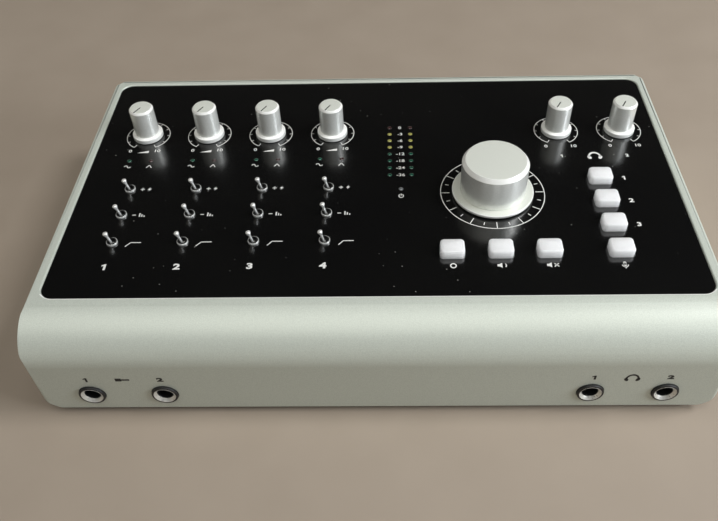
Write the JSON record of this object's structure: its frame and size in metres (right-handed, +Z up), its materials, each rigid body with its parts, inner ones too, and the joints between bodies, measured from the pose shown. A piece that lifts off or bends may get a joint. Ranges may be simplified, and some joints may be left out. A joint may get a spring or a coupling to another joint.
{
  "type": "audio interface",
  "caption": "Desktop audio interface: silver case with a bull-nose front, glossy black top panel with gain knobs, toggles, white buttons and a big volume dial, jacks front and rear.",
  "frame": {"origin": "under the middle of the whole part's box, on the table", "axes": "+X to the right and +Y to the back as the user faces the controls, +Z up"},
  "size_m": [0.27, 0.1788, 0.0657],
  "materials": {
    "case_silver": "satin metallic paint",
    "panel_black": "gloss",
    "rear_black": "satin powder coat",
    "base_black": "satin powder coat",
    "foot_rubber": "matte",
    "screw_steel": "plain",
    "board_green": "solder mask",
    "post_nylon": "moulded",
    "post_brass": "turned",
    "pot_blue": "moulded",
    "switch_chrome": "polished",
    "switch_black": "moulded",
    "lamp_green": "clear moulded",
    "lamp_yellow": "clear moulded",
    "lamp_red": "clear moulded",
    "lamp_clear": "clear moulded",
    "jack_black": "moulded",
    "ferrule_nickel": "nickel plated",
    "ribbon_grey": "extruded",
    "chip_black": "moulded",
    "capacitor_sleeve": "shrunk sleeve",
    "knob_silver": "satin anodised",
    "skirt_silver": "satin anodised",
    "button_white": "satin moulded"
  },
  "bodies": {
    "chassis": {"top_case": "case_silver", "control_panel": "panel_black", "rear_panel": "rear_black", "base_plate": "base_black", "rubber_feet": "foot_rubber", "case_screws": "screw_steel", "main_board": "board_green", "board_posts": "post_nylon", "control_board": "board_green", "panel_posts": "post_brass", "potentiometers": "pot_blue", "volume_encoder": "pot_blue", "toggle_switches": "switch_chrome", "toggle_nuts": "switch_chrome", "button_switches": "switch_black", "green_lamps": "lamp_green", "yellow_lamps": "lamp_yellow", "red_lamps": "lamp_red", "status_lamp": "lamp_clear", "front_jacks": "jack_black", "rear_jacks": "jack_black", "jack_ferrules": "ferrule_nickel", "combo_sockets": "jack_black", "optical_sockets": "jack_black", "clock_socket": "ferrule_nickel", "usb_socket": "screw_steel", "dc_inlet": "jack_black", "power_switch": "jack_black", "ribbon_cable": "ribbon_grey", "board_chips": "chip_black", "capacitors": "capacitor_sleeve"},
    "volume": {"volume_dial": "knob_silver", "dial_skirt": "skirt_silver", "volume_spindle": "screw_steel"},
    "power": {"power_button": "switch_black"},
    "gain_1": {"gain_knob_1": "knob_silver"},
    "gain_2": {"gain_knob_2": "knob_silver"},
    "gain_3": {"gain_knob_3": "knob_silver"},
    "gain_4": {"gain_knob_4": "knob_silver"},
    "phones_1": {"phones_knob_1": "knob_silver"},
    "phones_2": {"phones_knob_2": "knob_silver"},
    "toggle_1": {"toggle_lever_1": "switch_chrome"},
    "toggle_2": {"toggle_lever_2": "switch_chrome"},
    "toggle_3": {"toggle_lever_3": "switch_chrome"},
    "toggle_4": {"toggle_lever_4": "switch_chrome"},
    "toggle_5": {"toggle_lever_5": "switch_chrome"},
    "toggle_6": {"toggle_lever_6": "switch_chrome"},
    "toggle_7": {"toggle_lever_7": "switch_chrome"},
    "toggle_8": {"toggle_lever_8": "switch_chrome"},
    "toggle_9": {"toggle_lever_9": "switch_chrome"},
    "toggle_10": {"toggle_lever_10": "switch_chrome"},
    "toggle_11": {"toggle_lever_11": "switch_chrome"},
    "toggle_12": {"toggle_lever_12": "switch_chrome"},
    "button_1": {"push_button_1": "button_white"},
    "button_2": {"push_button_2": "button_white"},
    "button_3": {"push_button_3": "button_white"},
    "button_4": {"push_button_4": "button_white"},
    "button_5": {"push_button_5": "button_white"},
    "button_6": {"push_button_6": "button_white"},
    "button_7": {"push_button_7": "button_white"}
  },
  "joints": [
    {"name": "gain_1_turn", "type": "hinge", "parent": "chassis", "child": "gain_1", "pos_m": [-0.1088, 0.0344, 0.0474], "axis": [0, 0, -1], "range_deg": [0, 300]},
    {"name": "gain_2_turn", "type": "hinge", "parent": "chassis", "child": "gain_2", "pos_m": [-0.0795, 0.0344, 0.0474], "axis": [0, 0, -1], "range_deg": [0, 300]},
    {"name": "gain_3_turn", "type": "hinge", "parent": "chassis", "child": "gain_3", "pos_m": [-0.0502, 0.0344, 0.0474], "axis": [0, 0, -1], "range_deg": [0, 300]},
    {"name": "gain_4_turn", "type": "hinge", "parent": "chassis", "child": "gain_4", "pos_m": [-0.0209, 0.0344, 0.0474], "axis": [0, 0, -1], "range_deg": [0, 300]},
    {"name": "phones_1_turn", "type": "hinge", "parent": "chassis", "child": "phones_1", "pos_m": [0.0844, 0.0344, 0.0474], "axis": [0, 0, -1], "range_deg": [0, 300]},
    {"name": "phones_2_turn", "type": "hinge", "parent": "chassis", "child": "phones_2", "pos_m": [0.1138, 0.0344, 0.0474], "axis": [0, 0, -1], "range_deg": [0, 300]},
    {"name": "volume_turn", "type": "hinge", "parent": "chassis", "child": "volume", "pos_m": [0.0505, -0.0085, 0.0474], "axis": [0, 0, -1], "continuous": true},
    {"name": "toggle_1_tip", "type": "hinge", "parent": "chassis", "child": "toggle_1", "pos_m": [-0.1088, -0.0041, 0.0459], "axis": [0, 1, 0], "range_deg": [0, 26]},
    {"name": "toggle_2_tip", "type": "hinge", "parent": "chassis", "child": "toggle_2", "pos_m": [-0.0795, -0.0041, 0.0459], "axis": [0, 1, 0], "range_deg": [0, 26]},
    {"name": "toggle_3_tip", "type": "hinge", "parent": "chassis", "child": "toggle_3", "pos_m": [-0.0502, -0.0041, 0.0459], "axis": [0, 1, 0], "range_deg": [0, 26]},
    {"name": "toggle_4_tip", "type": "hinge", "parent": "chassis", "child": "toggle_4", "pos_m": [-0.0209, -0.0041, 0.0459], "axis": [0, 1, 0], "range_deg": [0, 26]},
    {"name": "toggle_5_tip", "type": "hinge", "parent": "chassis", "child": "toggle_5", "pos_m": [-0.1088, -0.0206, 0.0459], "axis": [0, 1, 0], "range_deg": [0, 26]},
    {"name": "toggle_6_tip", "type": "hinge", "parent": "chassis", "child": "toggle_6", "pos_m": [-0.0795, -0.0206, 0.0459], "axis": [0, 1, 0], "range_deg": [0, 26]},
    {"name": "toggle_7_tip", "type": "hinge", "parent": "chassis", "child": "toggle_7", "pos_m": [-0.0502, -0.0206, 0.0459], "axis": [0, 1, 0], "range_deg": [0, 26]},
    {"name": "toggle_8_tip", "type": "hinge", "parent": "chassis", "child": "toggle_8", "pos_m": [-0.0209, -0.0206, 0.0459], "axis": [0, 1, 0], "range_deg": [0, 26]},
    {"name": "toggle_9_tip", "type": "hinge", "parent": "chassis", "child": "toggle_9", "pos_m": [-0.1088, -0.0371, 0.0459], "axis": [0, 1, 0], "range_deg": [0, 26]},
    {"name": "toggle_10_tip", "type": "hinge", "parent": "chassis", "child": "toggle_10", "pos_m": [-0.0795, -0.0371, 0.0459], "axis": [0, 1, 0], "range_deg": [0, 26]},
    {"name": "toggle_11_tip", "type": "hinge", "parent": "chassis", "child": "toggle_11", "pos_m": [-0.0502, -0.0371, 0.0459], "axis": [0, 1, 0], "range_deg": [0, 26]},
    {"name": "toggle_12_tip", "type": "hinge", "parent": "chassis", "child": "toggle_12", "pos_m": [-0.0209, -0.0371, 0.0459], "axis": [0, 1, 0], "range_deg": [0, 26]},
    {"name": "button_1_press", "type": "slide", "parent": "chassis", "child": "button_1", "axis": [0, 0, -1], "range_m": [0, 0.001], "stiffness_N_per_m": 1200, "springref_m": -0.0004},
    {"name": "button_2_press", "type": "slide", "parent": "chassis", "child": "button_2", "axis": [0, 0, -1], "range_m": [0, 0.001], "stiffness_N_per_m": 1200, "springref_m": -0.0004},
    {"name": "button_3_press", "type": "slide", "parent": "chassis", "child": "button_3", "axis": [0, 0, -1], "range_m": [0, 0.001], "stiffness_N_per_m": 1200, "springref_m": -0.0004},
    {"name": "button_4_press", "type": "slide", "parent": "chassis", "child": "button_4", "axis": [0, 0, -1], "range_m": [0, 0.001], "stiffness_N_per_m": 1200, "springref_m": -0.0004},
    {"name": "button_5_press", "type": "slide", "parent": "chassis", "child": "button_5", "axis": [0, 0, -1], "range_m": [0, 0.001], "stiffness_N_per_m": 1200, "springref_m": -0.0004},
    {"name": "button_6_press", "type": "slide", "parent": "chassis", "child": "button_6", "axis": [0, 0, -1], "range_m": [0, 0.001], "stiffness_N_per_m": 1200, "springref_m": -0.0004},
    {"name": "button_7_press", "type": "slide", "parent": "chassis", "child": "button_7", "axis": [0, 0, -1], "range_m": [0, 0.001], "stiffness_N_per_m": 1200, "springref_m": -0.0004},
    {"name": "power_press", "type": "slide", "parent": "chassis", "child": "power", "axis": [0, -1, 0], "range_m": [0, 0.003], "stiffness_N_per_m": 900, "springref_m": -0.001}
  ]
}
